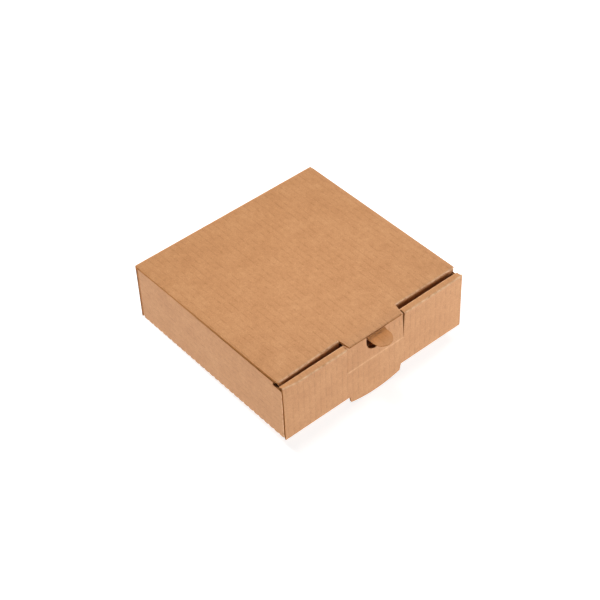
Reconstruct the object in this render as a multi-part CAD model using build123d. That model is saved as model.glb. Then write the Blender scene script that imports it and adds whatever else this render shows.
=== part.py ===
from build123d import *
import os
from math import sqrt

# A box folded from one blank of corrugated board: a tray with a doubled front wall, and a lid that
# folds down from the tray's back wall. X is to the right seen from the front, the front faces -Y, and
# the origin is the middle of the bottom panel's underside. Millimetres.

# Board and folds
BOARD = 2.4
FOLD_RADIUS = 1.6
LAYER_GAP = 0.15
FOLD_LEG = 6.0
CUT_OVERRUN = 5.0

# Tray
WIDTH = 210.0
DEPTH = 209.0
WALL_HEIGHT = 62.2
CORNER_FLAP_LENGTH = 52.0
CORNER_FLAP_RADIUS = 9.0
CORNER_RELIEF_DEPTH = 3.0
CORNER_RELIEF_CLEARANCE = 0.6

# Cut score along the fold of each side wall
SCORE_PITCH = 7.0
SCORE_LENGTH = 3.4
SCORE_DEPTH = 0.5
SCORE_MARGIN = 6.0

# Front wall
FRONT_LAYERS = 3
INNER_WALL_CLEARANCE = 0.6
STRIP_INSET = 0.8
SLIT_SPACING = 66.6
SLIT_WIDTH = 0.4
PRESS_CREASE_HEIGHT = 33.0
PRESS_DEPTH = 1.2
THUMB_WIDTH = 20.4
THUMB_REACH = 17.0
THUMB_CUT = 0.15

# Tab that stands below the bottom fold, and the inner wall's tab in the notch that it leaves
BOTTOM_TAB_WIDTH = 61.0
BOTTOM_TAB_CORNER_WIDTH = 58.6
BOTTOM_TAB_CORNER_DROP = 6.4
BOTTOM_TAB_DROP = 10.3
LOCK_TAB_WIDTH = 50.0

# Lid
LID_GAP = 0.4
LID_OVERHANG = 0.5
HINGE_CLEARANCE = 0.15
FLAP_GAP = 3.6
FLAP_HEIGHT = 30.0
FLAP_SIDE_CLEARANCE = 0.6
FLAP_EAR_INSET = 0.7
FLAP_EAR_CLEARANCE = 0.5
FLAP_TAPER = 6.0
FLAP_CORNER_RADIUS = 8.0
TONGUE_WIDTH = 66.0
TONGUE_TIP_WIDTH = 62.0

# Places worked out from the sizes above
SIDE = WIDTH / 2
FRONT = -DEPTH / 2
BACK = DEPTH / 2
FLOOR_CLEAR = BOARD + LAYER_GAP
UNDER_STRIP = WALL_HEIGHT - BOARD
STRIP_DEPTH = FRONT_LAYERS * BOARD + (FRONT_LAYERS - 1) * LAYER_GAP
INNER_FACE = FRONT + STRIP_DEPTH
INNER_HALF = SIDE - BOARD - INNER_WALL_CLEARANCE
SIDE_START = FRONT + FLOOR_CLEAR
SIDE_END = BACK - FLOOR_CLEAR
PRESS_FACE = FRONT + PRESS_DEPTH
LID_UNDER = WALL_HEIGHT + LID_GAP
LID_TOP = LID_UNDER + BOARD
LID_HALF = SIDE + LID_OVERHANG
FLAP_FACE = INNER_FACE + FLAP_GAP
FLAP_LOW = LID_UNDER - FLAP_HEIGHT
FLAP_HALF = SIDE - BOARD - FLAP_SIDE_CLEARANCE
EAR_HALF = SIDE - FLAP_EAR_INSET
EAR_LOW = WALL_HEIGHT - CORNER_RELIEF_DEPTH + FLAP_EAR_CLEARANCE
TONGUE_REACH = FLAP_FACE - FRONT


def block(x, y, z):
    """A box between pairs of limits."""
    centre = Pos((x[0] + x[1]) / 2, (y[0] + y[1]) / 2, (z[0] + z[1]) / 2)
    return centre * Box(x[1] - x[0], y[1] - y[0], z[1] - z[0])


def section(outline, rounded, radius):
    """A face from its corner points, with the rounded corners of one radius."""
    face = make_face(Polyline(*outline, close=True))
    for corner in rounded:
        nearest = face.vertices().sort_by_distance(corner)[0]
        face = fillet(nearest, radius)
    return face


def thumb_outline(width, reach):
    """A U that points along -Y from its mouth on the X axis."""
    radius = width / 2
    straight = reach - radius
    return Pos(0, -straight) * Circle(radius) + Pos(0, -straight / 2) * Rectangle(width, straight)


def bottom_tab_outline():
    """The D of the bottom tab, which points along +Y from the X axis."""
    root = BOTTOM_TAB_WIDTH / 2
    corner = BOTTOM_TAB_CORNER_WIDTH / 2
    left = Line((-root, 0), (-corner, BOTTOM_TAB_CORNER_DROP))
    tip = ThreePointArc(
        (-corner, BOTTOM_TAB_CORNER_DROP), (0, BOTTOM_TAB_DROP), (corner, BOTTOM_TAB_CORNER_DROP)
    )
    right = Line((corner, BOTTOM_TAB_CORNER_DROP), (root, 0))
    return make_face([left, tip, right, Line((root, 0), (-root, 0))])


def tongue_outline():
    """The tongue, which points along -Y from the X axis."""
    root = TONGUE_WIDTH / 2
    tip = TONGUE_TIP_WIDTH / 2
    corners = [(-root, 0), (root, 0), (tip, -TONGUE_REACH), (-tip, -TONGUE_REACH)]
    return make_face(Polyline(*corners, close=True))


def bottom():
    """The bottom panel with the folds of the side walls at its two sides."""
    outline = [
        (-SIDE, FOLD_LEG),
        (-SIDE, 0),
        (SIDE, 0),
        (SIDE, FOLD_LEG),
        (SIDE - BOARD, FOLD_LEG),
        (SIDE - BOARD, BOARD),
        (BOARD - SIDE, BOARD),
        (BOARD - SIDE, FOLD_LEG),
    ]
    face = section(outline, [(-SIDE, 0), (SIDE, 0)], FOLD_RADIUS)
    return extrude(Plane.XZ * face, SIDE_END, both=True)


def score_cuts():
    """Short cuts along the two side folds, at even steps about the middle."""
    half_depth = FOLD_RADIUS * (sqrt(2) - 1) + SCORE_DEPTH
    count = int((SIDE_END - SIDE_START - 2 * SCORE_MARGIN) / SCORE_PITCH)
    cut = Rot(0, 45, 0) * Box(2 * half_depth, SCORE_LENGTH, 2 * FOLD_LEG)
    places = [(step - (count - 1) / 2) * SCORE_PITCH for step in range(count)]
    right = [Pos(SIDE, place, 0) * cut for place in places]
    return right + [mirror(one, Plane.YZ) for one in right]


def side_wall():
    """The right side wall with its two corner flaps, which fold in behind the front and back walls."""
    flap_end = SIDE - CORNER_FLAP_LENGTH
    outline = [
        (flap_end, SIDE_START),
        (SIDE, SIDE_START),
        (SIDE, SIDE_END),
        (flap_end, SIDE_END),
        (flap_end, SIDE_END - BOARD),
        (SIDE - BOARD, SIDE_END - BOARD),
        (SIDE - BOARD, SIDE_START + BOARD),
        (flap_end, SIDE_START + BOARD),
    ]
    face = section(outline, [(SIDE, SIDE_START), (SIDE, SIDE_END)], FOLD_RADIUS)
    wall = Pos(0, 0, FLOOR_CLEAR) * extrude(face, WALL_HEIGHT - FLOOR_CLEAR)
    wall -= block(
        (flap_end - CUT_OVERRUN, SIDE + CUT_OVERRUN),
        (FRONT, FLAP_FACE + BOARD + CORNER_RELIEF_CLEARANCE),
        (WALL_HEIGHT - CORNER_RELIEF_DEPTH, WALL_HEIGHT + CUT_OVERRUN),
    )
    flap_corners = wall.edges().filter_by(Axis.Y).group_by(Axis.X)[0]
    return fillet(flap_corners, CORNER_FLAP_RADIUS)


def beyond_mitre(side):
    """What lies past the mitre of the lid's fold, on the lid's side (1) or the back wall's side (-1)."""
    lengths = (-FOLD_LEG - CUT_OVERRUN, CUT_OVERRUN)
    depths = sorted((-side * HINGE_CLEARANCE / 2, side * (FOLD_LEG + CUT_OVERRUN)))
    widths = (-LID_HALF - CUT_OVERRUN, LID_HALF + CUT_OVERRUN)
    return Pos(0, BACK, LID_TOP) * Rot(45, 0, 0) * block(widths, lengths, depths)


def back_wall():
    """The back wall, up to the mitre of the fold that the lid hangs on."""
    outline = [
        (BACK, 0),
        (BACK, LID_TOP),
        (BACK - FOLD_LEG, LID_TOP),
        (BACK - FOLD_LEG, LID_UNDER),
        (BACK - BOARD, LID_UNDER),
        (BACK - BOARD, BOARD),
        (BACK - FOLD_LEG, BOARD),
        (BACK - FOLD_LEG, 0),
    ]
    face = section(outline, [(BACK, 0), (BACK, LID_TOP)], FOLD_RADIUS)
    wall = extrude(Plane.YZ * face, SIDE, both=True) - beyond_mitre(1)
    leg = block(
        (SIDE - BOARD, SIDE + CUT_OVERRUN), (BACK - FOLD_LEG - CUT_OVERRUN, BACK - BOARD), (0, BOARD)
    )
    return wall - [leg, mirror(leg, Plane.YZ)]


def front_wall():
    """The front wall, folded over at the top into a strip and an inner panel."""
    outline = [
        (FRONT, 0),
        (FRONT, WALL_HEIGHT),
        (INNER_FACE, WALL_HEIGHT),
        (INNER_FACE, FLOOR_CLEAR),
        (INNER_FACE - BOARD, FLOOR_CLEAR),
        (INNER_FACE - BOARD, UNDER_STRIP),
        (FRONT + BOARD, UNDER_STRIP),
        (FRONT + BOARD, BOARD),
        (FRONT + FOLD_LEG, BOARD),
        (FRONT + FOLD_LEG, 0),
    ]
    folds = [(FRONT, 0), (FRONT, WALL_HEIGHT), (INNER_FACE, WALL_HEIGHT)]
    wall = extrude(Plane.YZ * section(outline, folds, FOLD_RADIUS), SIDE, both=True)
    behind = (FRONT + BOARD, INNER_FACE + CUT_OVERRUN)
    leg_end = block((SIDE - BOARD, SIDE + CUT_OVERRUN), behind, (0, BOARD))
    inner_end = block((INNER_HALF, SIDE + CUT_OVERRUN), behind, (BOARD, UNDER_STRIP))
    strip_end = block((SIDE - STRIP_INSET, SIDE + CUT_OVERRUN), behind, (UNDER_STRIP, WALL_HEIGHT))
    ends = [leg_end, inner_end, strip_end]
    return wall - ends - [mirror(end, Plane.YZ) for end in ends]


def press_panel():
    """The middle of the outer panel between the two slits, pressed in above its crease."""
    outline = [
        (FRONT, PRESS_CREASE_HEIGHT),
        (PRESS_FACE, WALL_HEIGHT),
        (INNER_FACE - BOARD, WALL_HEIGHT),
        (INNER_FACE - BOARD, UNDER_STRIP),
        (PRESS_FACE + BOARD, UNDER_STRIP),
        (FRONT + BOARD, PRESS_CREASE_HEIGHT),
    ]
    face = section(outline, [(PRESS_FACE, WALL_HEIGHT)], FOLD_RADIUS)
    panel = extrude(Plane.YZ * face, (SLIT_SPACING - SLIT_WIDTH) / 2, both=True)
    hole = thumb_outline(THUMB_WIDTH + 2 * THUMB_CUT, THUMB_REACH + BOARD)
    hole_plane = Plane(origin=(0, PRESS_FACE + BOARD, WALL_HEIGHT), x_dir=(1, 0, 0), z_dir=(0, -1, 0))
    panel -= extrude(hole_plane * hole, PRESS_DEPTH + BOARD + CUT_OVERRUN)
    tab = extrude(Pos(0, FRONT, UNDER_STRIP) * thumb_outline(THUMB_WIDTH, THUMB_REACH), BOARD)
    half = THUMB_WIDTH / 2
    root = block((-half, half), (FRONT, INNER_FACE - BOARD), (UNDER_STRIP, WALL_HEIGHT))
    return panel + tab + root


def press_window():
    """What the slits free from the outer panel and the strip."""
    half = (SLIT_SPACING + SLIT_WIDTH) / 2
    return block(
        (-half, half),
        (FRONT - CUT_OVERRUN, INNER_FACE - BOARD),
        (PRESS_CREASE_HEIGHT, WALL_HEIGHT + CUT_OVERRUN),
    )


def inner_thumb_hole():
    """The thumb hole's match in the inner panel, below the strip."""
    hole = thumb_outline(THUMB_WIDTH + 2 * THUMB_CUT, THUMB_REACH)
    hole_plane = Plane(origin=(0, INNER_FACE, UNDER_STRIP), x_dir=(1, 0, 0), z_dir=(0, -1, 0))
    return extrude(hole_plane * hole, BOARD)


def bottom_tab():
    """The tab in the plane of the front wall, cut from the bottom panel."""
    downward = Plane(origin=(0, FRONT, 0), x_dir=(1, 0, 0), z_dir=(0, 1, 0))
    half = BOTTOM_TAB_WIDTH / 2
    root = block((-half, half), (FRONT, FRONT + BOARD), (0, FOLD_LEG))
    return extrude(downward * bottom_tab_outline(), BOARD) + root


def bottom_notch():
    """The notch that the bottom tab leaves in the bottom panel."""
    return extrude(Pos(0, FRONT + BOARD, 0) * bottom_tab_outline(), BOARD)


def lock_tab():
    """The inner panel's tab, which stands in the bottom notch."""
    half = LOCK_TAB_WIDTH / 2
    return block((-half, half), (INNER_FACE - BOARD, INNER_FACE), (0, FOLD_LEG))


def tray():
    """Everything below the lid, as one folded piece."""
    right = side_wall()
    body = bottom() + [right, mirror(right, Plane.YZ), back_wall()]
    body -= score_cuts()
    body += front_wall() - press_window() - inner_thumb_hole()
    body -= bottom_notch()
    return body + [press_panel(), bottom_tab(), lock_tab()]


def lid():
    """The top panel, the tongue in its plane and the eared tuck flap that folds down around the tongue."""
    outline = [
        (BACK, LID_TOP - FOLD_LEG),
        (BACK, LID_TOP),
        (FLAP_FACE, LID_TOP),
        (FLAP_FACE, LID_UNDER - FOLD_LEG),
        (FLAP_FACE + BOARD, LID_UNDER - FOLD_LEG),
        (FLAP_FACE + BOARD, LID_UNDER),
        (BACK - BOARD, LID_UNDER),
        (BACK - BOARD, LID_TOP - FOLD_LEG),
    ]
    face = section(outline, [(BACK, LID_TOP), (FLAP_FACE, LID_TOP)], FOLD_RADIUS)
    panel = extrude(Plane.YZ * face, LID_HALF, both=True) - beyond_mitre(-1)
    beside = (FLAP_FACE - CUT_OVERRUN, FLAP_FACE + BOARD)
    ear_end = block((EAR_HALF, LID_HALF + CUT_OVERRUN), beside, (FLAP_LOW, LID_UNDER))
    leg_end = block((FLAP_HALF, LID_HALF + CUT_OVERRUN), beside, (FLAP_LOW, EAR_LOW))
    ends = [ear_end, leg_end]
    panel -= ends + [mirror(end, Plane.YZ) for end in ends]

    low_half = FLAP_HALF - FLAP_TAPER
    low_corners = [(low_half, FLAP_LOW), (-low_half, FLAP_LOW)]
    flap_outline = [
        (EAR_HALF, LID_UNDER),
        (EAR_HALF, EAR_LOW),
        (FLAP_HALF, EAR_LOW),
        (FLAP_HALF, LID_UNDER - FOLD_LEG),
        *low_corners,
        (-FLAP_HALF, LID_UNDER - FOLD_LEG),
        (-FLAP_HALF, EAR_LOW),
        (-EAR_HALF, EAR_LOW),
        (-EAR_HALF, LID_UNDER),
    ]
    flap = section(flap_outline, low_corners, FLAP_CORNER_RADIUS)
    inside = Plane(origin=(0, FLAP_FACE + BOARD, 0), x_dir=(1, 0, 0), z_dir=(0, -1, 0))
    panel += extrude(inside * flap, BOARD)

    notch = Plane(origin=(0, FLAP_FACE + BOARD, LID_TOP), x_dir=(1, 0, 0), z_dir=(0, -1, 0))
    panel -= extrude(notch * tongue_outline(), BOARD + CUT_OVERRUN)
    half = TONGUE_WIDTH / 2
    root = block((-half, half), (FLAP_FACE, FLAP_FACE + BOARD), (LID_UNDER, LID_TOP))
    return panel + extrude(Pos(0, FLAP_FACE, LID_UNDER) * tongue_outline(), BOARD) + root


os.makedirs("parts", exist_ok=True)
export_step(tray(), "parts/tray.step")
export_step(lid(), "parts/lid.step")
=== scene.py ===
from itertools import accumulate
from math import asin, atan2, cos, hypot, pi, radians, sin, tan

import bmesh
import bpy
import numpy as np
from mathutils import Matrix, Vector
from mathutils.geometry import delaunay_2d_cdt


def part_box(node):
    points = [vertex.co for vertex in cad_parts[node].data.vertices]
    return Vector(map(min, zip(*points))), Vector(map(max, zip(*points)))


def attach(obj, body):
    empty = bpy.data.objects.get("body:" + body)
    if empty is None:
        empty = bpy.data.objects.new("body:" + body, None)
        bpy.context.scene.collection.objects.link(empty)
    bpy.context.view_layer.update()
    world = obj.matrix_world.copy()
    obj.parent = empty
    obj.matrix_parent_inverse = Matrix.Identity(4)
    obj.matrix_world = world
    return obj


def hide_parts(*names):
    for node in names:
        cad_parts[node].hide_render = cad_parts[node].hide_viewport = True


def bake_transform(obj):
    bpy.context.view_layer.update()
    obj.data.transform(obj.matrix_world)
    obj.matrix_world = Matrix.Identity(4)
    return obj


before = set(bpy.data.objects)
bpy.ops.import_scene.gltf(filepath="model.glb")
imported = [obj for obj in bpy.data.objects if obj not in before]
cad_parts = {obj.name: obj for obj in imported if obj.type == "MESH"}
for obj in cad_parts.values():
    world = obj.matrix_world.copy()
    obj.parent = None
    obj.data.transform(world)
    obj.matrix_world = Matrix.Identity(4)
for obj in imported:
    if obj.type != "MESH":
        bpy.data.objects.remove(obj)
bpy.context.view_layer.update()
tray_low, tray_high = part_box("tray")
lid_low, lid_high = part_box("lid")

# Corrugated board, in metres as everything here
BOARD = 0.0024
LINER = 0.0003
MEDIUM = 0.00026
FLUTE_PITCH = 0.00622
FLUTE_STEPS = 6
RIPPLE = 0.00004
FOLD_RIPPLE = 0.00006
LAYER_GAP = 0.00015
CUT_WIDTH = 0.0002
PINCH_REACH = 0.0012
PINCH_OUTER = 0.0002
PINCH_INNER = 0.0003
CLOSED_THICKNESS = 0.0009
# Where the flutes begin across each sheet; on the front wall this puts the dark flute lines where the
# ripple's shade falls
LID_FLUTE_START = 0.00122
FRONT_FLUTE_START = 0.00378
MERGE_DISTANCE = 1e-7
LINER_SLOT = 0
CORE_SLOT = 1

# Folds
FOLD_RADIUS = 0.0016
FOLD_STEPS = 4
FOLD_THICKNESS = 0.0014
SCORE_THICKNESS = 0.0021
CRUSH_REACH = 0.0036
SHARP_TURN = radians(45)
SCORE_CREASE_SHARE = 0.9

# Panels of the box
LID_GAP = 0.0004
FRONT_LAYERS = 3
STRIP_DEPTH = FRONT_LAYERS * BOARD + (FRONT_LAYERS - 1) * LAYER_GAP
STRIP_INSET = 0.0008
INNER_CLEARANCE = 0.0006
FLAP_GAP = 0.0036
FLAP_SHOULDER = 0.0084
FLAP_TAPER = 0.006
FLAP_EAR_INSET = 0.0007
FLAP_EAR_CLEARANCE = 0.0005
FLAP_CORNER_RADIUS = 0.008
CORNER_FLAP_LENGTH = 0.052
CORNER_FLAP_RADIUS = 0.009
CORNER_RELIEF_DEPTH = 0.003
CORNER_RELIEF_CLEARANCE = 0.0006
FRONT_LEG = 0.016
BACK_LEG = 0.008
HINGE_LEG = 0.006

# Cuts and tabs
SLIT_HALF = 0.0333
SLIT_WIDTH = 0.0004
PRESS_CREASE_HEIGHT = 0.033
PRESS_DEPTH = 0.0012
THUMB_HALF = 0.0102
THUMB_CUT = 0.00015
TAB_HALF = 0.0305
TAB_CORNER_HALF = 0.0293
TAB_CORNER_DROP = 0.0064
TONGUE_HALF = 0.033
TONGUE_TIP_HALF = 0.031
TONGUE_DROOP = 0.00105
TONGUE_TIP_THICKNESS = 0.002
THUMB_STEP = 0.0014
THUMB_DROOP = 0.0009
THUMB_THICKNESS = 0.0014
THUMB_BEND = 0.0022
# Painted shade on the thumb tab for the tongue's shadow: its share at the root and at the tip
THUMB_ROOT_SHADE = 1.0
THUMB_TIP_SHADE = 0.1
LOCK_TAB_HALF = 0.025
SCORE_PITCH = 0.007
SCORE_SHARE = 0.45
SCORE_DEPTH = 0.0006
SCORE_STEEPNESS = 2.0
SCORE_ROW = 0.0007
ARC_STEPS = 12

# How the box in the photograph sits out of true
LEFT_CORNER_INSET = 0.002
LEFT_CORNER_SWING = 0.0026
RIGHT_CORNER_SWING = 0.0005
LEFT_END_LIFT = 0.0027
LEFT_END_LEAN = 0.0009
RIGHT_END_LIFT = 0.0011
END_LIFT_RUN = 0.026
END_LIFT_HEIGHT = 0.02
SLIT_SPREAD = 0.0009

# Places taken from the frame
SIDE = tray_high.x
BACK = tray_high.y
FRONT = -BACK
THUMB_REACH = FRONT - tray_low.y
TAB_DROP = -tray_low.z
LID_HALF = lid_high.x
LID_TOP = lid_high.z
FLAP_LOW = lid_low.z
WALL_HEIGHT = LID_TOP - BOARD - LID_GAP
FLOOR_CLEAR = BOARD + LAYER_GAP
INNER_FACE = FRONT + STRIP_DEPTH
INNER_HALF = SIDE - BOARD - INNER_CLEARANCE
SIDE_START = FRONT + FLOOR_CLEAR
SIDE_END = BACK - FLOOR_CLEAR
PRESS_FACE = FRONT + PRESS_DEPTH
FLAP_FACE = INNER_FACE + FLAP_GAP
FLAP_HALF = INNER_HALF
EAR_HALF = SIDE - FLAP_EAR_INSET
EAR_LOW = WALL_HEIGHT - CORNER_RELIEF_DEPTH + FLAP_EAR_CLEARANCE
TONGUE_REACH = FLAP_FACE - lid_low.y

# Photograph's camera, about a point in the box, with its lens in millimetres
CAMERA_AIM = Vector((-0.00153, -0.00365, 0.030))
CAMERA_AZIMUTH = radians(-38.896)
CAMERA_ELEVATION = radians(43.617)
CAMERA_ROLL = radians(-2.543)
CAMERA_DISTANCE = 1.3722
CAMERA_LENS = 89.93

# Kraft liner: its colours, then the patterns of its tone; a pair of values runs from none to all
KRAFT_STOPS = (
    (0.0, (0.42, 0.178, 0.065, 1)),
    (0.5, (0.61, 0.294, 0.125, 1)),
    (1.0, (0.80, 0.450, 0.230, 1)),
)
# Pale colour on creases: partly rubbed fibres, partly a painted highlight where the fold catches light
RUB_AND_HIGHLIGHT_COLOUR = (0.97, 0.64, 0.38, 1)
# Painted shade: a darker, more orange tint for the thumb tab under the tongue's shadow
THUMB_SHADE_TINT = (0.82, 0.63, 0.32, 1)
MIDDLE = 0.5
CLOUD_SCALE = 55.0
CLOUD_DETAIL = 3.0
CLOUD_SHARE = 0.35
BLOTCH_SCALE = 210.0
BLOTCH_DETAIL = 2.0
BLOTCH_SHARE = 0.3
FIBRE_SCALES = (900.0, 2600.0)
FIBRE_DETAIL = 3.0
FIBRE_ROUGHNESS = 0.65
FIBRE_SHARE = 0.6
GRAIN_SCALE = 1500.0
GRAIN_DETAIL = 2.0
GRAIN_SHARE = 0.7
FLECK_SCALE = 330.0
FLECK_RIM = (0.16, 0.08)
FLECK_CHOICE = (0.84, 0.9)
DARK_FLECK_SHARE = -0.35
LIGHT_FLECK_SHARE = 0.25
# Darker flute lines: partly the flutes showing through, partly painted shade of the ripple
LINE_SHARPNESS = 12.0
LINE_SCALES = (260.0, 180.0)
LINE_DETAIL = 2.0
LINE_BREAKS = (0.38, 0.66)
LINE_CREASE = (1.0, 0.5)
LINE_AND_SHADE_SHARE = -0.22
# Pale creases, partly rubbed and partly painted highlight: how narrow, where between the flutes, and in
# which patches
RUB_HIGHLIGHT_SHARPNESS = 5.0
RUB_HIGHLIGHT_WAVE = (2.5, 0.0)
RUB_HIGHLIGHT_BLOTCHES = (0.2, 0.6)
LINER_ROUGHNESS = 0.58
LINER_ROUGHNESS_SHARE = 0.2
LINER_SHINE = 0.5
BUMP_FIBRE_SHARE = 1.0
BUMP_FLUTE_SHARE = -1.2
BUMP_STRENGTH = 0.25
BUMP_DEPTH = 0.00006

# Raw edges and the fluted medium
CORE_STOPS = (
    (0.25, (0.34, 0.132, 0.040, 1)),
    (0.75, (0.60, 0.262, 0.092, 1)),
)
CORE_SCALE = 1200.0
CORE_DETAIL = 3.0
CORE_NOISE_ROUGHNESS = 0.6
CORE_ROUGHNESS = 0.9
CORE_SHINE = 0.15

# Floor
FLOOR_HALF = 8.0
FLOOR_CLEARANCE = 0.0002
FLOOR_COLOUR = (0.5, 0.5, 0.5, 1)
FLOOR_WHITE = 0.85

# Light from around, with heights and turns as parts of a unit vector
WHITE = (1, 1, 1, 1)
HORIZON_LEVEL = 1.0
HORIZON_RISE = 0.1
CEILING_LEVEL = 0.2
CEILING_RISE = 0.35
AMBIENT_LEVEL = 0.03
TABLE_RISE = 0.12
TABLE_DROP = -0.8
TABLE_LEVEL = 3.7
UNDER_LEVEL = 0.1
BACK_SHADE = 0.6
BACK_TURN = (0.2, 0.9)

# Lamps: degrees about the box, 0 in front of it and 90 to its right, then metres and watts
BEHIND_LAMP = {"azimuth": 192, "elevation": 42, "distance": 3.0, "size": 0.6, "power": 70.0}
RIGHT_LAMP = {"azimuth": 90, "elevation": 45, "distance": 1.0, "size": 0.25, "power": 2.4}
FRONT_RIGHT_LAMP = {"azimuth": 52, "elevation": -3, "distance": 0.55, "size": 0.05, "power": 0.6}
OVERHEAD_SPOT = Vector((-0.03, -0.06, 0))
OVERHEAD_HEIGHT = Vector((0, 0, 0.42))
OVERHEAD_SIZE = 0.05
OVERHEAD_POWER = 0.4


class Fold:
    """The outer face of folded board seen end on: runs from corner to corner with round folds between."""

    def __init__(self, *corners, marks=None):
        self.corners = [Vector(corner) for corner in corners]
        runs = [end - start for start, end in zip(self.corners, self.corners[1:])]
        self.headings = [run.normalized() for run in runs]
        self.outward = [Vector((-heading.y, heading.x)) for heading in self.headings]
        self.marks = marks or list(accumulate([run.length for run in runs], initial=0.0))
        pairs = zip(self.headings, self.headings[1:])
        self.turns = [before.angle(after) for before, after in pairs]

    def folds(self):
        """Mark, turn and half length of each fold."""
        return [
            (mark, turn, FOLD_RADIUS * tan(turn / 2)) for mark, turn in zip(self.marks[1:], self.turns)
        ]

    def rows(self):
        """Marks where the mesh needs a row, about every fold."""
        marks = []
        for mark, turn, half in self.folds():
            marks += [mark - CRUSH_REACH, mark + CRUSH_REACH]
            marks += [mark + half * (2 * step / FOLD_STEPS - 1) for step in range(FOLD_STEPS + 1)]
        return marks

    def line(self, mark):
        """Point of the outer face and the direction out of it."""
        for index, (corner_mark, turn, half) in enumerate(self.folds()):
            if abs(mark - corner_mark) < half:
                turned = turn * (mark - corner_mark + half) / (2 * half)
                start = self.corners[index + 1] - self.headings[index] * half
                normal = Matrix.Rotation(-turned, 2) @ self.outward[index]
                return start + (normal - self.outward[index]) * FOLD_RADIUS, normal
        index = max(i for i in range(len(self.headings)) if i == 0 or mark >= self.marks[i])
        share = (mark - self.marks[index]) / (self.marks[index + 1] - self.marks[index])
        return self.corners[index].lerp(self.corners[index + 1], share), self.outward[index]

    def crush(self, mark):
        """Thickness of the board and how much of a crease it is, from 0 to 1."""
        thickness, crease = BOARD, 0.0
        for corner_mark, turn, half in self.folds():
            near = max(0.0, 1 - abs(mark - corner_mark) / CRUSH_REACH)
            near = near * near * (3 - 2 * near)
            least = FOLD_THICKNESS if turn > SHARP_TURN else SCORE_THICKNESS
            thickness -= (BOARD - least) * near
            crease = max(crease, near if turn > SHARP_TURN else near * SCORE_CREASE_SHARE)
        return thickness, crease


def arc(centre, radius, start, end):
    """Points of an arc, angles in radians."""
    angles = [start + (end - start) * step / ARC_STEPS for step in range(ARC_STEPS + 1)]
    return [(centre[0] + radius * cos(angle), centre[1] + radius * sin(angle)) for angle in angles]


def mirrored(right):
    """A closed outline from its right half, given from the bottom up."""
    return right + [(-a, b) for a, b in reversed(right)]


def channel(wide, narrow):
    """The outline of a cut between a wide line and a narrow one that run the same way."""
    return wide + narrow[::-1]


def steps_between(low, high, step):
    """Multiples of a step that lie between two limits."""
    return [index * step for index in range(int(low // step) + 1, int(-(-high // step)))]


def columns(outline, flute_start=0.0, extra=()):
    """Lines along the flutes, a few to each flute."""
    low = min(a for a, b in outline)
    high = max(a for a, b in outline)
    first = min(b for a, b in outline)
    last = max(b for a, b in outline)
    places = steps_between(low - flute_start, high - flute_start, FLUTE_PITCH / FLUTE_STEPS)
    places = [flute_start + place for place in places] + list(extra)
    return [((a, first), (a, last)) for a in places if low < a < high]


def rows(outline, places):
    """Lines across the flutes."""
    low = min(a for a, b in outline)
    high = max(a for a, b in outline)
    return [((low, b), (high, b)) for b in places]


def beside_edges(ring):
    """Lines just inside and outside the edges that lie across the flutes."""
    lines = []
    for (start, level), (end, end_level) in zip(ring, ring[1:] + ring[:1]):
        if level == end_level:
            for beside in (level - PINCH_REACH, level + PINCH_REACH):
                lines.append(((start, beside), (end, beside)))
    return lines


def inside(points, rings):
    """Which points lie inside an odd number of closed rings."""
    odd = np.zeros(len(points), bool)
    x, y = points[:, 0], points[:, 1]
    for ring in rings:
        for (ax, ay), (bx, by) in zip(ring, ring[1:] + ring[:1]):
            if ay == by:
                continue
            crosses = ((ay > y) != (by > y)) & (x < ax + (y - ay) * (bx - ax) / (by - ay))
            odd ^= crosses
    return odd


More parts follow.
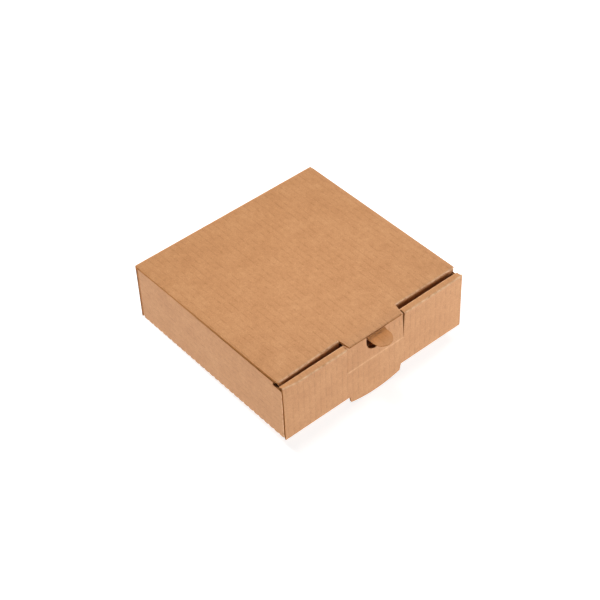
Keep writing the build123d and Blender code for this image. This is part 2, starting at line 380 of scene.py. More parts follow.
class Sheet:
    """One flat cut sheet of board in its own coordinates, a across the flutes and b along them.

    place gives the outer face's point, the direction out of it, the thickness and the crease at a and b.
    joined says whether the border there runs on into another sheet, and painted_shade how much shade is
    painted into its colour.
    """

    def __init__(self, outline, holes, lines, place, joined, flute_start=0.0, worn=False, painted_shade=None):
        self.triangulate([outline] + holes, lines)
        points, normals, thickness, crease = zip(*[place(a, b) for a, b in self.flat])
        self.points = np.array([tuple(point) for point in points])
        self.normals = np.array([tuple(normal) for normal in normals])
        self.thickness = np.array(thickness)
        self.crease = np.array(crease)
        # The tan values carry painted shade into the colour
        self.tan = np.array([painted_shade(a, b) if painted_shade else 0.0 for a, b in self.flat])
        self.find_edges(joined, worn)
        self.flat[:, 0] -= flute_start

    def triangulate(self, rings, lines):
        """Triangles within an outline and its holes, with edges along all rings and lines."""
        lines = lines + [line for ring in rings for line in beside_edges(ring)]
        points, edges = [], []
        for ring in rings:
            first = len(points)
            points += ring
            count = len(ring)
            edges += [(first + index, first + (index + 1) % count) for index in range(count)]
        for line in lines:
            edges.append((len(points), len(points) + 1))
            points += line
        flat = [Vector(point) for point in points]
        result = delaunay_2d_cdt(flat, edges, [], 0, MERGE_DISTANCE, False)
        self.flat = np.array([tuple(point) for point in result[0]])
        triangles = np.array(result[2])
        kept = triangles[inside(self.flat[triangles].mean(axis=1), rings)]
        used, self.triangles = np.unique(kept, return_inverse=True)
        self.triangles = self.triangles.reshape(-1, 3)
        self.flat = self.flat[used]

    def find_edges(self, joined, worn):
        """The border, its cut points, and which of these are dented or filled on worn board."""
        pairs = np.concatenate([self.triangles[:, sides] for sides in ([0, 1], [1, 2], [2, 0])])
        ends, counts = np.unique(np.sort(pairs, axis=1), axis=0, return_counts=True)
        self.border = ends[counts == 1]
        self.cut = np.unique([index for index in self.border.ravel() if not joined(*self.flat[index])])
        runs = np.abs(self.flat[self.border[:, 0]] - self.flat[self.border[:, 1]])
        open_flutes = np.unique(self.border[runs[:, 0] > runs[:, 1] / 2])
        self.dented = np.intersect1d(self.cut, open_flutes) if worn else []
        self.filled = np.setdiff1d(self.cut, open_flutes) if worn else []

    def layers(self):
        """Depths of the two sides of outer liner, fluted medium and inner liner, and the sides' slots."""
        wave = np.cos(2 * pi * self.flat[:, 0] / FLUTE_PITCH)
        sag = RIPPLE + (FOLD_RIPPLE - RIPPLE) * self.crease
        top = np.zeros(len(wave))
        low = self.thickness.copy()
        top[self.cut] = PINCH_OUTER
        low[np.setdiff1d(self.cut, self.filled)] -= PINCH_INNER
        spare = low - top - CLOSED_THICKNESS
        top[self.dented] += (spare * (1 - wave * wave)).clip(0)[self.dented]
        middle = (top + low) / 2 + ((low - top) / 2 - LINER - MEDIUM / 2) * wave
        medium_top, medium_low = middle - MEDIUM / 2, middle + MEDIUM / 2
        medium_top[self.filled] = (top + LINER)[self.filled]
        medium_low[self.filled] = (low - LINER)[self.filled]
        return [
            (top + sag * (1 + wave) / 2, top + LINER, LINER_SLOT, CORE_SLOT),
            (medium_top, medium_low, CORE_SLOT, CORE_SLOT),
            (low - LINER, low - sag * (1 - wave) / 2, CORE_SLOT, LINER_SLOT),
        ]


def board(name, sheets, materials):
    """A mesh object of corrugated board: liner, flutes and liner of each sheet as closed layers."""
    points, faces, flat, crease, painted_shade_share, slots = [], [], [], [], [], []
    for sheet in sheets:
        for outer, inner, outer_slot, inner_slot in sheet.layers():
            count = len(sheet.flat)
            top = len(points)
            low = top + count
            points += (sheet.points - sheet.normals * outer[:, None]).tolist()
            points += (sheet.points - sheet.normals * inner[:, None]).tolist()
            flat += sheet.flat.tolist() * 2
            crease += sheet.crease.tolist() * 2
            painted_shade_share += sheet.tan.tolist() * 2
            faces += (sheet.triangles + top).tolist()
            faces += (sheet.triangles[:, ::-1] + low).tolist()
            faces += [[top + a, top + b, low + b, low + a] for a, b in sheet.border.tolist()]
            slots += [outer_slot] * len(sheet.triangles) + [inner_slot] * len(sheet.triangles)
            slots += [CORE_SLOT] * len(sheet.border)
    mesh = bpy.data.meshes.new(name)
    mesh.from_pydata(points, [], faces)
    for material in materials:
        mesh.materials.append(material)
    mesh.polygons.foreach_set("material_index", slots)
    corner_points = np.empty(len(mesh.loops), int)
    mesh.loops.foreach_get("vertex_index", corner_points)
    mesh.uv_layers.new(name="sheet").data.foreach_set("uv", np.array(flat)[corner_points].ravel())
    mesh.attributes.new("crease", "FLOAT", "POINT").data.foreach_set("value", crease)
    # The tan attribute carries the painted shade on the thumb tab
    mesh.attributes.new("tan", "FLOAT", "POINT").data.foreach_set("value", painted_shade_share)
    shaped = bmesh.new()
    shaped.from_mesh(mesh)
    bmesh.ops.recalc_face_normals(shaped, faces=shaped.faces)
    shaped.to_mesh(mesh)
    shaped.free()
    mesh.shade_smooth()
    mesh.set_sharp_from_angle(angle=SHARP_TURN)
    made = bpy.data.objects.new(name, mesh)
    bpy.context.scene.collection.objects.link(made)
    return made


def along_y(fold, a, b):
    """Place for a sheet that is folded about lines along X: a is X and b runs along the fold."""
    point, normal = fold.line(b)
    thickness, crease = fold.crush(b)
    return Vector((a, point.x, point.y)), Vector((0, normal.x, normal.y)), thickness, crease


# Lid, tongue and tuck flap

LID_FOLD = Fold((FLAP_FACE, FLAP_LOW), (FLAP_FACE, LID_TOP), (BACK - HINGE_LEG, LID_TOP))
LID_CREASE = LID_FOLD.marks[1]
LID_END = LID_FOLD.marks[2]
LID_FLAT = Fold((FLAP_FACE - LID_CREASE, LID_TOP), (BACK - HINGE_LEG, LID_TOP))


def tongue_half(b):
    """Half the tongue's width at a mark."""
    share = min(1.0, max(0.0, (LID_CREASE - b) / TONGUE_REACH))
    return TONGUE_HALF + (TONGUE_TIP_HALF - TONGUE_HALF) * share


def corner_swing(a, b):
    """How far the lid's front corners have swung, the left one inward too."""
    outer = max(0.0, abs(a) - TONGUE_HALF) / (LID_HALF - TONGUE_HALF)
    forward = min(1.0, (LID_END - b) / (LID_END - LID_CREASE))
    swing = (LEFT_CORNER_INSET, -LEFT_CORNER_SWING, 0) if a < 0 else (0, -RIGHT_CORNER_SWING, 0)
    return Vector(swing) * outer * forward


def place_lid(a, b):
    """Place on the lid, its drooping tongue or its tuck flap."""
    tongue = b > LID_CREASE - TONGUE_REACH - CUT_WIDTH / 2 and abs(a) < tongue_half(b) + CUT_WIDTH / 2
    if tongue:
        point, normal, thickness, crease = along_y(LID_FLAT, a, b)
        out = max(0.0, (LID_CREASE - b) / TONGUE_REACH)
        point.z -= TONGUE_DROOP * out * out
        return point, normal, BOARD + (TONGUE_TIP_THICKNESS - BOARD) * out, crease
    point, normal, thickness, crease = along_y(LID_FOLD, a, b)
    return point + corner_swing(a, b), normal, thickness, crease


def lid_sheet():
    """The lid with its tuck flap, and the tongue cut free of the flap."""
    low_half = FLAP_HALF - FLAP_TAPER
    shoulder = LID_CREASE - FLAP_SHOULDER
    slope = atan2(shoulder, FLAP_TAPER)
    centre = (low_half - FLAP_CORNER_RADIUS * tan(slope / 2), FLAP_CORNER_RADIUS)
    right = arc(centre, FLAP_CORNER_RADIUS, -pi / 2, slope - pi / 2)
    ear = EAR_LOW - FLAP_LOW
    right += [(FLAP_HALF, shoulder), (FLAP_HALF, ear), (EAR_HALF, ear), (EAR_HALF, LID_CREASE)]
    right += [(LID_HALF, LID_CREASE), (LID_HALF, LID_END)]
    outline = mirrored(right)
    tongue = [
        (-TONGUE_HALF, LID_CREASE),
        (-TONGUE_TIP_HALF, LID_CREASE - TONGUE_REACH),
        (TONGUE_TIP_HALF, LID_CREASE - TONGUE_REACH),
        (TONGUE_HALF, LID_CREASE),
    ]
    notch = [
        (-TONGUE_HALF - CUT_WIDTH, LID_CREASE),
        (-TONGUE_TIP_HALF - CUT_WIDTH, LID_CREASE - TONGUE_REACH - CUT_WIDTH),
        (TONGUE_TIP_HALF + CUT_WIDTH, LID_CREASE - TONGUE_REACH - CUT_WIDTH),
        (TONGUE_HALF + CUT_WIDTH, LID_CREASE),
    ]
    lines = columns(outline, LID_FLUTE_START) + rows(outline, LID_FOLD.rows())

    def joined(a, b):
        return b > LID_END - CUT_WIDTH

    return Sheet(outline, [channel(notch, tongue)], lines, place_lid, joined, LID_FLUTE_START, worn=True)


# Fold between the lid and the back wall

HINGE_FOLD = Fold((BACK - HINGE_LEG, LID_TOP), (BACK, LID_TOP), (BACK, LID_TOP - HINGE_LEG))


def place_hinge(a, b):
    """Place on the fold between lid and back wall."""
    return along_y(HINGE_FOLD, a, b)


def hinge_sheet():
    """The strip of board on both sides of that fold."""
    outline = mirrored([(LID_HALF, 0.0), (SIDE, HINGE_FOLD.marks[2])])
    lines = columns(outline, LID_FLUTE_START) + rows(outline, HINGE_FOLD.rows())

    def joined(a, b):
        return b < CUT_WIDTH or b > HINGE_FOLD.marks[2] - CUT_WIDTH

    return Sheet(outline, [], lines, place_hinge, joined, LID_FLUTE_START, worn=True)


# Back wall

BACK_FOLD = Fold((BACK, LID_TOP - HINGE_LEG), (BACK, 0.0), (BACK - BACK_LEG, 0.0))


def place_back(a, b):
    """Place on the back wall or on the edge of the bottom behind it."""
    return along_y(BACK_FOLD, a, b)


def back_sheet():
    """The back wall below the lid's fold, with its own bottom fold."""
    bottom = BACK_FOLD.marks[1]
    narrow = SIDE - BOARD
    right = [(SIDE, 0.0), (SIDE, bottom), (narrow, bottom), (narrow, BACK_FOLD.marks[2])]
    outline = mirrored(right)
    lines = columns(outline, LID_FLUTE_START) + rows(outline, BACK_FOLD.rows())

    def joined(a, b):
        return b < CUT_WIDTH or b > bottom + CUT_WIDTH

    return Sheet(outline, [], lines, place_back, joined, LID_FLUTE_START)


# Doubled front wall with its press panel, thumb tab and bottom tab

FRONT_FOLD = Fold(
    (FRONT + FRONT_LEG, 0.0),
    (FRONT, 0.0),
    (FRONT, WALL_HEIGHT),
    (INNER_FACE, WALL_HEIGHT),
    (INNER_FACE, 0.0),
)
FRONT_LOW, FRONT_TOP, STRIP_END, INNER_END = FRONT_FOLD.marks[1:]
PRESS_CREASE = FRONT_LOW + PRESS_CREASE_HEIGHT
PRESS_END = STRIP_END - BOARD
FRONT_FLAT = Fold((FRONT, -FRONT_LEG), (FRONT, WALL_HEIGHT))
STRIP_FLAT = Fold((FRONT - FRONT_TOP, WALL_HEIGHT), (INNER_FACE, WALL_HEIGHT))
PRESS_FOLD = Fold(
    (FRONT, 0.0),
    (FRONT, PRESS_CREASE_HEIGHT),
    (PRESS_FACE, WALL_HEIGHT),
    (INNER_FACE - BOARD, WALL_HEIGHT),
    marks=[FRONT_LOW, PRESS_CREASE, FRONT_TOP, PRESS_END],
)
TAB_TIP_RISE = TAB_DROP - TAB_CORNER_DROP
TAB_TIP_RADIUS = (TAB_CORNER_HALF**2 + TAB_TIP_RISE**2) / (2 * TAB_TIP_RISE)


def in_thumb_tab(a, b):
    """Whether a place lies on the thumb tab or on the strip that carries it."""
    bend = FRONT_TOP - THUMB_REACH + THUMB_HALF
    reach = hypot(a, b - bend) if b < bend else abs(a)
    return reach < THUMB_HALF + THUMB_CUT / 2 and b < PRESS_END


def in_bottom_tab(a, b):
    """Whether a place lies on the bottom tab."""
    centre = FRONT_LOW - TAB_DROP + TAB_TIP_RADIUS
    share = min(1.0, max(0.0, (FRONT_LOW - b) / TAB_CORNER_DROP))
    half = TAB_HALF + (TAB_CORNER_HALF - TAB_HALF) * share
    in_arc = hypot(a, b - centre) < TAB_TIP_RADIUS + BOARD / 2
    return b < FRONT_LOW + CRUSH_REACH and abs(a) < half + CUT_WIDTH / 2 and in_arc


def in_press_panel(a, b):
    """Whether a place lies on the press panel between the slits."""
    return abs(a) < SLIT_HALF and PRESS_CREASE - CRUSH_REACH < b < PRESS_END


def end_lift(a, b):
    """How far the ends of the front wall's top fold stand up, the left one leaning in too."""
    outer = max(0.0, 1 - (SIDE - abs(a)) / END_LIFT_RUN)
    near = max(0.0, 1 - abs(b - FRONT_TOP) / (END_LIFT_HEIGHT if b < FRONT_TOP else STRIP_DEPTH))
    lift = (0, LEFT_END_LEAN, LEFT_END_LIFT) if a < 0 else (0, 0, RIGHT_END_LIFT)
    return Vector(lift) * outer * outer * near


def place_front(a, b):
    """Place on the front wall, with its tabs and press panel bent out of it."""
    if in_thumb_tab(a, b):
        point, normal, thickness, crease = along_y(STRIP_FLAT, a, b)
        out = max(0.0, FRONT_TOP - b)
        bent = min(1.0, out / THUMB_BEND)
        point.z -= THUMB_STEP * bent + THUMB_DROOP * out / THUMB_REACH
        return point, normal, BOARD + (THUMB_THICKNESS - BOARD) * bent, crease
    if in_bottom_tab(a, b):
        return along_y(FRONT_FLAT, a, b)
    if in_press_panel(a, b):
        return along_y(PRESS_FOLD, a, b)
    point, normal, thickness, crease = along_y(FRONT_FOLD, a, b)
    return point + end_lift(a, b), normal, thickness, crease


def thumb_painted_shade(a, b):
    """How much shade is painted on the thumb tab, most at its root where the tongue's shadow falls."""
    out = (FRONT_TOP - b) / THUMB_REACH
    if out <= 0 or not in_thumb_tab(a, b):
        return 0.0
    return THUMB_ROOT_SHADE + (THUMB_TIP_SHADE - THUMB_ROOT_SHADE) * out


def thumb_line(half, reach):
    """The U of the thumb tab or of its hole, from the left."""
    bend = (0.0, FRONT_TOP - reach + half)
    return [(-half, FRONT_TOP)] + arc(bend, half, -pi, 0.0) + [(half, FRONT_TOP)]


def inner_hole_line():
    """The U of the thumb hole in the inner panel, from the left."""
    half = THUMB_HALF + THUMB_CUT
    mouth = STRIP_END + BOARD
    bend = (0.0, mouth + THUMB_REACH - half)
    return [(-half, mouth)] + arc(bend, half, pi, 0.0) + [(half, mouth)]


def bottom_tab_line(wider, lower):
    """The D of the bottom tab or of its notch, from the left."""
    spread = asin(TAB_CORNER_HALF / TAB_TIP_RADIUS)
    centre = (0.0, FRONT_LOW - lower - TAB_DROP + TAB_TIP_RADIUS)
    tip = arc(centre, TAB_TIP_RADIUS + wider, -pi / 2 - spread, -pi / 2 + spread)
    root = TAB_HALF + wider
    return [(-root, FRONT_LOW)] + tip + [(root, FRONT_LOW)]


def slit_line(side, top):
    """A slit beside the press panel that opens from its crease to its top; side is 1 on the right."""
    inner = SLIT_HALF - SLIT_WIDTH / 2
    outer = inner + CUT_WIDTH / 2
    right = [(inner, PRESS_CREASE), (outer, PRESS_CREASE), (top, PRESS_END), (inner, PRESS_END)]
    return [(side * a, b) for a, b in right]


def front_sheet():
    """The outer front wall, the strip on top and the inner front wall as one sheet."""
    narrow = SIDE - BOARD
    right = [
        (narrow, 0.0),
        (narrow, FRONT_LOW),
        (SIDE, FRONT_LOW),
        (SIDE, FRONT_TOP + FOLD_RADIUS),
        (SIDE - STRIP_INSET, FRONT_TOP + FOLD_RADIUS),
        (SIDE - STRIP_INSET, STRIP_END),
        (INNER_HALF, STRIP_END),
        (INNER_HALF, INNER_END - FLOOR_CLEAR),
        (LOCK_TAB_HALF, INNER_END - FLOOR_CLEAR),
        (LOCK_TAB_HALF, INNER_END),
    ]
    outline = mirrored(right)
    right_slit = slit_line(1, SLIT_HALF + SLIT_WIDTH / 2 + SLIT_SPREAD)
    left_slit = slit_line(-1, SLIT_HALF + SLIT_WIDTH / 2)
    thumb_hole = thumb_line(THUMB_HALF + THUMB_CUT, THUMB_REACH + BOARD)
    thumb = channel(thumb_hole, thumb_line(THUMB_HALF, THUMB_REACH))
    tab = channel(bottom_tab_line(CUT_WIDTH, BOARD), bottom_tab_line(0.0, 0.0))
    holes = [right_slit, left_slit, thumb, tab, inner_hole_line()]
    places = FRONT_FOLD.rows() + [FRONT_TOP - THUMB_BEND]
    places += [PRESS_CREASE - CRUSH_REACH, PRESS_CREASE, PRESS_CREASE + CRUSH_REACH, PRESS_END]
    lines = columns(outline, FRONT_FLUTE_START) + rows(outline, places)

    def joined(a, b):
        beside_bottom = abs(abs(a) - narrow) < CUT_WIDTH and b < FRONT_LOW
        return b < CUT_WIDTH or beside_bottom

    return Sheet(outline, holes, lines, place_front, joined, FRONT_FLUTE_START, painted_shade=thumb_painted_shade)


# Bottom and side walls

TROUGH_FOLD = Fold((SIDE, WALL_HEIGHT), (SIDE, 0.0), (-SIDE, 0.0), (-SIDE, WALL_HEIGHT))
RIGHT_FOLD, LEFT_FOLD, TROUGH_END = TROUGH_FOLD.marks[1:]


def score_notch(b):
    """How far the cut part of a side fold is pressed in, from 0 to 1."""
    phase = b / SCORE_PITCH % 1
    depth = 1 - abs(phase - 1 / 2) / (SCORE_SHARE / 2)
    return min(1.0, max(0.0, SCORE_STEEPNESS * depth))


def place_trough(a, b):
    """Place on the bottom or a side wall, a across the box and b along Y."""
    point, normal = TROUGH_FOLD.line(a)
    thickness, crease = TROUGH_FOLD.crush(a)
    inward = SCORE_DEPTH * score_notch(b) * crease
    normal = Vector((normal.x, 0, normal.y))
    return Vector((point.x, b, point.y)) - normal * inward, normal, thickness - inward, crease


def trough_sheet():
    """The bottom and both side walls as one sheet."""
    start, end = SIDE_START + FOLD_RADIUS, SIDE_END - FOLD_RADIUS
    first, last = FRONT + FRONT_LEG, BACK - BACK_LEG
    relief = FLAP_FACE + BOARD + CORNER_RELIEF_CLEARANCE
    right, left = RIGHT_FOLD + BOARD, LEFT_FOLD - BOARD
    low_right, low_left = CORNER_RELIEF_DEPTH, TROUGH_END - CORNER_RELIEF_DEPTH
    outline = [
        (low_right, start),
        (right, start),
        (right, first),
        (left, first),
        (left, start),
        (low_left, start),
        (low_left, relief),
        (TROUGH_END, relief),
        (TROUGH_END, end),
        (left, end),
        (left, last),
        (right, last),
        (right, end),
        (0.0, end),
        (0.0, relief),
        (low_right, relief),
    ]
    lines = columns(outline, extra=TROUGH_FOLD.rows())
    for fold in (RIGHT_FOLD, LEFT_FOLD):
        places = steps_between(start, end, SCORE_ROW)
        lines += [((fold - CRUSH_REACH, b), (fold + CRUSH_REACH, b)) for b in places]

    def joined(a, b):
        wall = CUT_WIDTH < a < TROUGH_END - CUT_WIDTH
        bottom = right - CUT_WIDTH < a < left + CUT_WIDTH
        return wall and (b < start + CUT_WIDTH or b > end - CUT_WIDTH or bottom)

    return Sheet(outline, [], lines, place_trough, joined)


def corner_flap_sheet(side, front):
    """A corner flap with the fold that joins it to its side wall; side is 1 on the right."""
    flap_end = SIDE - CORNER_FLAP_LENGTH
    if front:
        fold = Fold((SIDE, SIDE_START + FOLD_RADIUS), (SIDE, SIDE_START), (flap_end, SIDE_START))
        top = WALL_HEIGHT - CORNER_RELIEF_DEPTH
        free, turn = fold.marks[2], 1
    else:
        fold = Fold((flap_end, SIDE_END), (SIDE, SIDE_END), (SIDE, SIDE_END - FOLD_RADIUS))
        top = WALL_HEIGHT
        free, turn = 0.0, -1
    root = fold.marks[2] - free
    round_centre = free - turn * CORNER_FLAP_RADIUS
    low_centre = (FLOOR_CLEAR + CORNER_FLAP_RADIUS, round_centre)
    top_centre = (top - CORNER_FLAP_RADIUS, round_centre)
    low_round = arc(low_centre, CORNER_FLAP_RADIUS, pi, pi - turn * pi / 2)
    top_round = arc(top_centre, CORNER_FLAP_RADIUS, turn * pi / 2, 0.0)
    outline = [(FLOOR_CLEAR, root)] + low_round + top_round + [(top, root)]

    def place(a, b):
        point, normal = fold.line(b)
        thickness, crease = fold.crush(b)
        normal = Vector((side * normal.x, normal.y, 0))
        return Vector((side * point.x, point.y, a)), normal, thickness, crease

    def joined(a, b):
        return abs(b - root) < CUT_WIDTH

    return Sheet(outline, [], columns(outline) + rows(outline, fold.rows()), place, joined)


# Materials


def add(tree, kind, sockets, **settings):
    """A shader node with its sockets linked or set."""
    made = tree.nodes.new(kind)
    for name, value in settings.items():
        setattr(made, name, value)
    for name, value in sockets.items():
        if isinstance(value, bpy.types.NodeSocket):
            tree.links.new(value, made.inputs[name])
        else:
            made.inputs[name].default_value = value
    return made


def calculate(tree, operation, first, second):
    """The result of an operation on two values."""
    return add(tree, "ShaderNodeMath", {0: first, 1: second}, operation=operation).outputs[0]


def noise(tree, vector, scale, detail, roughness=0.5):
    """Noise from 0 to 1."""
    sockets = {"Vector": vector, "Scale": scale, "Detail": detail, "Roughness": roughness}
    return add(tree, "ShaderNodeTexNoise", sockets).outputs["Fac"]


def flute_noise(tree, sheet, scales, detail, roughness=0.5):
    """Noise with one scale across the flutes and another along them."""
    sockets = {0: sheet, 1: (*scales, 1.0)}
    stretched = add(tree, "ShaderNodeVectorMath", sockets, operation="MULTIPLY").outputs[0]
    return noise(tree, stretched, 1.0, detail, roughness)


def step_up(tree, value, low, high):
    """A smooth step from 0 at low to 1 at high."""
    sockets = {"Value": value, "From Min": low, "From Max": high}
    return add(tree, "ShaderNodeMapRange", sockets, interpolation_type="SMOOTHSTEP").outputs[0]


def add_share(tree, total, value, share, middle=0.0):
    """A total with a share of a value about its middle added."""
    part = calculate(tree, "MULTIPLY", calculate(tree, "SUBTRACT", value, middle), share)
    return calculate(tree, "ADD", total, part)


def ramp(tree, value, stops):
    """The colour of a value on a ramp through stops, each a position and a colour."""
    made = add(tree, "ShaderNodeValToRGB", {"Fac": value})
    elements = made.color_ramp.elements
    for element, (position, colour) in zip(elements, (stops[0], stops[-1])):
        element.position = position
        element.color = colour
    for position, colour in stops[1:-1]:
        elements.new(position).color = colour
    return made.outputs["Color"]


def mixed(tree, share, first, second, blend="MIX"):
    """The first colour with a share of the second."""
    sockets = {0: share, 6: first, 7: second}
    return add(tree, "ShaderNodeMix", sockets, data_type="RGBA", blend_type=blend).outputs[2]


def attribute(tree, name):
    """A value that the mesh carries."""
    return add(tree, "ShaderNodeAttribute", {}, attribute_name=name).outputs["Fac"]


def new_material(name):
    """A material with its node tree and its shader."""
    material = bpy.data.materials.new(name)
    material.use_nodes = True
    tree = material.node_tree
    return material, tree, tree.nodes["Principled BSDF"]


def object_space(tree):
    """Places in the object."""
    return add(tree, "ShaderNodeTexCoord", {}).outputs["Object"]


def sheet_coordinates(tree):
    """The flat sheet's own coordinates, and the wave of its flutes from 0 to 1."""
    sheet = add(tree, "ShaderNodeUVMap", {}, uv_map="sheet").outputs["UV"]
    across = add(tree, "ShaderNodeSeparateXYZ", {"Vector": sheet}).outputs["X"]
    angle = calculate(tree, "MULTIPLY", across, 2 * pi / FLUTE_PITCH)
    wave = add_share(tree, MIDDLE, calculate(tree, "COSINE", angle, 0.0), MIDDLE)
    return sheet, wave


def fleck_masks(tree, space):
    """Where the dark and the light flecks of the paper lie."""
    cells = add(tree, "ShaderNodeTexVoronoi", {"Vector": space, "Scale": FLECK_SCALE}, feature="F1")
    fleck = step_up(tree, cells.outputs["Distance"], *FLECK_RIM)
    draws = add(tree, "ShaderNodeSeparateXYZ", {"Vector": cells.outputs["Color"]}).outputs
    chosen = [step_up(tree, draws[axis], *FLECK_CHOICE) for axis in ("X", "Y")]
    return [calculate(tree, "MULTIPLY", fleck, choice) for choice in chosen]


def flute_lines_and_shade(tree, sheet, wave, crease):
    """Where the flutes show through the liner as broken darker lines, partly painted shade of the liner's
    ripple, which end at creases.
    """
    line = calculate(tree, "POWER", wave, LINE_SHARPNESS)
    broken = step_up(tree, flute_noise(tree, sheet, LINE_SCALES, LINE_DETAIL), *LINE_BREAKS)
    line = calculate(tree, "MULTIPLY", line, broken)
    return calculate(tree, "MULTIPLY", line, step_up(tree, crease, *LINE_CREASE))


def rubbed_and_highlit_creases(tree, wave, crease, blotches):
    """Where creases are rubbed pale and carry a painted highlight of the fold, in patches and most between
    the flutes.
    """
    rub_and_highlight = calculate(tree, "POWER", crease, RUB_HIGHLIGHT_SHARPNESS)
    rub_and_highlight = calculate(tree, "MULTIPLY", rub_and_highlight, step_up(tree, wave, *RUB_HIGHLIGHT_WAVE))
    return calculate(tree, "MULTIPLY", rub_and_highlight, step_up(tree, blotches, *RUB_HIGHLIGHT_BLOTCHES))


def kraft_material():
    """Brown kraft liner."""
    material, tree, shader = new_material("kraft_liner")
    sheet, wave = sheet_coordinates(tree)
    space = object_space(tree)
    crease = attribute(tree, "crease")
    clouds = noise(tree, space, CLOUD_SCALE, CLOUD_DETAIL)
    blotches = noise(tree, space, BLOTCH_SCALE, BLOTCH_DETAIL)
    fibres = flute_noise(tree, sheet, FIBRE_SCALES, FIBRE_DETAIL, FIBRE_ROUGHNESS)
    grain = noise(tree, space, GRAIN_SCALE, GRAIN_DETAIL)
    dark_flecks, light_flecks = fleck_masks(tree, space)
    tone = add_share(tree, MIDDLE, clouds, CLOUD_SHARE, MIDDLE)
    tone = add_share(tree, tone, blotches, BLOTCH_SHARE, MIDDLE)
    tone = add_share(tree, tone, fibres, FIBRE_SHARE, MIDDLE)
    tone = add_share(tree, tone, grain, GRAIN_SHARE, MIDDLE)
    # Darker flute lines, partly painted shade of the liner's ripple
    tone = add_share(tree, tone, flute_lines_and_shade(tree, sheet, wave, crease), LINE_AND_SHADE_SHARE)
    tone = add_share(tree, tone, dark_flecks, DARK_FLECK_SHARE)
    tone = add_share(tree, tone, light_flecks, LIGHT_FLECK_SHARE)
    # Creases paled: partly rubbed fibres, partly a painted highlight of the fold
    rub_and_highlight = rubbed_and_highlit_creases(tree, wave, crease, blotches)
    colour = mixed(tree, rub_and_highlight, ramp(tree, tone, KRAFT_STOPS), RUB_AND_HIGHLIGHT_COLOUR)
    # Painted shade: the tan attribute darkens the thumb tab towards its root, under the tongue
    colour = mixed(tree, attribute(tree, "tan"), colour, THUMB_SHADE_TINT, "MULTIPLY")
    tree.links.new(colour, shader.inputs["Base Color"])
    roughness = add_share(tree, LINER_ROUGHNESS, fibres, LINER_ROUGHNESS_SHARE, MIDDLE)
    tree.links.new(roughness, shader.inputs["Roughness"])
    shader.inputs["Specular IOR Level"].default_value = LINER_SHINE
    height = add_share(tree, grain, fibres, BUMP_FIBRE_SHARE)
    height = add_share(tree, height, wave, BUMP_FLUTE_SHARE)
    bump = add(tree, "ShaderNodeBump", {"Height": height, "Strength": BUMP_STRENGTH, "Distance": BUMP_DEPTH})
    tree.links.new(bump.outputs["Normal"], shader.inputs["Normal"])
    return material


def core_material():
    """Rough paper of raw edges and of the fluted medium."""
    material, tree, shader = new_material("raw_edge")
    tone = noise(tree, object_space(tree), CORE_SCALE, CORE_DETAIL, CORE_NOISE_ROUGHNESS)
    tree.links.new(ramp(tree, tone, CORE_STOPS), shader.inputs["Base Color"])
    shader.inputs["Roughness"].default_value = CORE_ROUGHNESS
    shader.inputs["Specular IOR Level"].default_value = CORE_SHINE
    return material


# Camera, floor and light


def direction(azimuth, elevation):
    """The way out from the box, in radians, azimuth 0 in front of it and a right angle to its right."""
    level = cos(elevation)
    return Vector((sin(azimuth) * level, -cos(azimuth) * level, sin(elevation)))


def aim_camera():
    """The photograph's camera."""
    back = direction(CAMERA_AZIMUTH, CAMERA_ELEVATION)
    right = Vector((0, 0, 1)).cross(back).normalized()
    up = back.cross(right)
    across = right * cos(CAMERA_ROLL) + up * sin(CAMERA_ROLL)
    above = up * cos(CAMERA_ROLL) - right * sin(CAMERA_ROLL)
    data = bpy.data.cameras.new("camera")
    data.lens = CAMERA_LENS
    camera = bpy.data.objects.new("camera", data)
    turn = Matrix((across, above, back)).transposed().to_4x4()
    camera.matrix_world = Matrix.Translation(CAMERA_AIM + back * CAMERA_DISTANCE) @ turn
    bpy.context.scene.collection.objects.link(camera)
    bpy.context.scene.camera = camera


def seen_directly(tree):
    """1 where a ray from the camera, a reflection or glass meets the background."""
    path = add(tree, "ShaderNodeLightPath", {}).outputs
    seen = calculate(tree, "MAXIMUM", path["Is Camera Ray"], path["Is Glossy Ray"])
    return calculate(tree, "MAXIMUM", seen, path["Is Transmission Ray"])


def floor_material():
    """White where it is seen, and dimmed only by the box's shadow."""
    material, tree, shader = new_material("floor")
    shader.inputs["Base Color"].default_value = FLOOR_COLOUR
    shader.inputs["Roughness"].default_value = 1.0
    shader.inputs["Specular IOR Level"].default_value = 0.0
    strength = calculate(tree, "MULTIPLY", seen_directly(tree), FLOOR_WHITE)
    glow = add(tree, "ShaderNodeEmission", {"Color": WHITE, "Strength": strength})
    lit = add(tree, "ShaderNodeAddShader", {0: glow.outputs[0], 1: shader.outputs[0]})
    tree.links.new(lit.outputs[0], tree.nodes["Material Output"].inputs["Surface"])
    return material


def lay_floor():
    """A floor under the tip of the bottom tab and the back wall's lower edge."""
    mesh = bpy.data.meshes.new("floor")
    corners = [(-FLOOR_HALF, -FLOOR_HALF, 0), (FLOOR_HALF, -FLOOR_HALF, 0)]
    corners += [(FLOOR_HALF, FLOOR_HALF, 0), (-FLOOR_HALF, FLOOR_HALF, 0)]
    mesh.from_pydata(corners, [], [[0, 1, 2, 3]])
    mesh.materials.append(floor_material())
    floor = bpy.data.objects.new("floor", mesh)
    floor.rotation_euler.x = atan2(TAB_DROP, BACK - FRONT)
    floor.location.z = -TAB_DROP / 2 - FLOOR_CLEARANCE
    floor.visible_diffuse = False
    bpy.context.scene.collection.objects.link(floor)


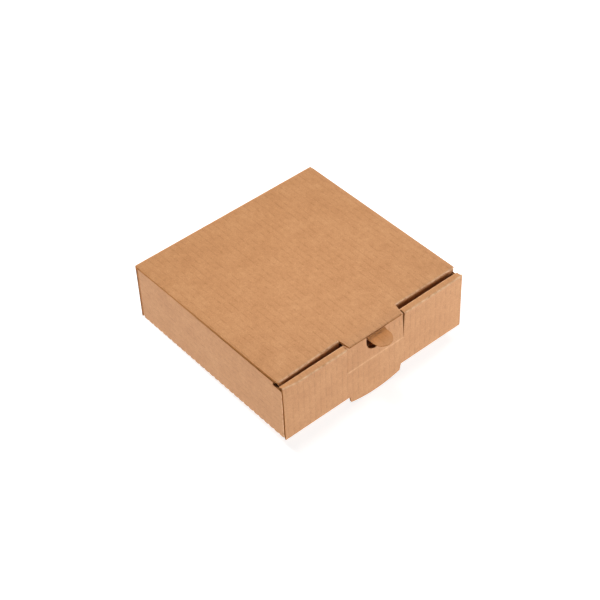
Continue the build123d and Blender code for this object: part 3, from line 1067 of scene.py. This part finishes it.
def table_light(tree, turn, rise):
    """Light that a white table throws up, fading downward and towards the back."""
    sockets = {"Value": rise, "From Min": TABLE_DROP, "From Max": 0.0}
    sockets |= {"To Min": UNDER_LEVEL, "To Max": TABLE_LEVEL}
    level = add(tree, "ShaderNodeMapRange", sockets).outputs[0]
    shade = calculate(tree, "MULTIPLY", step_up(tree, turn, *BACK_TURN), BACK_SHADE)
    level = calculate(tree, "MULTIPLY", level, calculate(tree, "SUBTRACT", 1.0, shade))
    above = step_up(tree, rise, 0.0, TABLE_RISE)
    return add(tree, "ShaderNodeMix", {0: above, 2: level, 3: AMBIENT_LEVEL}).outputs[0]


def backdrop_level(tree, rise):
    """A white horizon under a dim ceiling, as the camera and reflections see it."""
    sockets = {"Value": rise, "From Min": HORIZON_RISE, "From Max": CEILING_RISE}
    sockets |= {"To Min": HORIZON_LEVEL, "To Max": CEILING_LEVEL}
    return add(tree, "ShaderNodeMapRange", sockets, interpolation_type="SMOOTHSTEP").outputs[0]


def light_world():
    """The room around the box."""
    world = bpy.data.worlds.new("studio")
    world.use_nodes = True
    tree = world.node_tree
    ways = add(tree, "ShaderNodeTexCoord", {}).outputs["Generated"]
    parts = add(tree, "ShaderNodeSeparateXYZ", {"Vector": ways}).outputs
    unseen = table_light(tree, parts["Y"], parts["Z"])
    seen = backdrop_level(tree, parts["Z"])
    strength = add(tree, "ShaderNodeMix", {0: seen_directly(tree), 2: unseen, 3: seen}).outputs[0]
    background = tree.nodes["Background"]
    background.inputs["Color"].default_value = WHITE
    tree.links.new(strength, background.inputs["Strength"])
    bpy.context.scene.world = world


def lamp(name, place, aim, size, power, shine=True):
    """A square area lamp."""
    data = bpy.data.lights.new(name, "AREA")
    data.size = size
    data.energy = power
    made = bpy.data.objects.new(name, data)
    made.location = place
    made.rotation_euler = (place - aim).to_track_quat("Z", "Y").to_euler()
    made.visible_camera = False
    made.visible_glossy = shine
    bpy.context.scene.collection.objects.link(made)


def lamp_about(name, azimuth, elevation, distance, size, power, shine=True):
    """A lamp that stands about the box and faces it, angles in degrees."""
    place = CAMERA_AIM + direction(radians(azimuth), radians(elevation)) * distance
    lamp(name, place, CAMERA_AIM, size, power, shine)


def place_lamps():
    """The main lamp behind the box, and three small ones."""
    lamp_about("behind", **BEHIND_LAMP, shine=False)
    lamp_about("right", **RIGHT_LAMP)
    lamp("overhead", OVERHEAD_SPOT + OVERHEAD_HEIGHT, OVERHEAD_SPOT, OVERHEAD_SIZE, OVERHEAD_POWER)
    lamp_about("front_right", **FRONT_RIGHT_LAMP)


aim_camera()
lay_floor()
light_world()
place_lamps()
bpy.context.scene.view_settings.view_transform = "Standard"
finishes = [kraft_material(), core_material()]

lid_board = board("lid_board", [lid_sheet()], finishes)
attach(lid_board, "lid")
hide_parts("lid")

fold_board = board("lid_fold", [hinge_sheet()], finishes)
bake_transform(fold_board)

tray_sheets = [back_sheet(), trough_sheet()]
tray_sheets += [corner_flap_sheet(side, front) for side in (1, -1) for front in (True, False)]
tray_board = board("tray_board", tray_sheets, finishes)
front_board = board("tray_front_board", [front_sheet()], finishes)
for made in (tray_board, front_board):
    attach(made, "tray")
    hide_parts("tray")
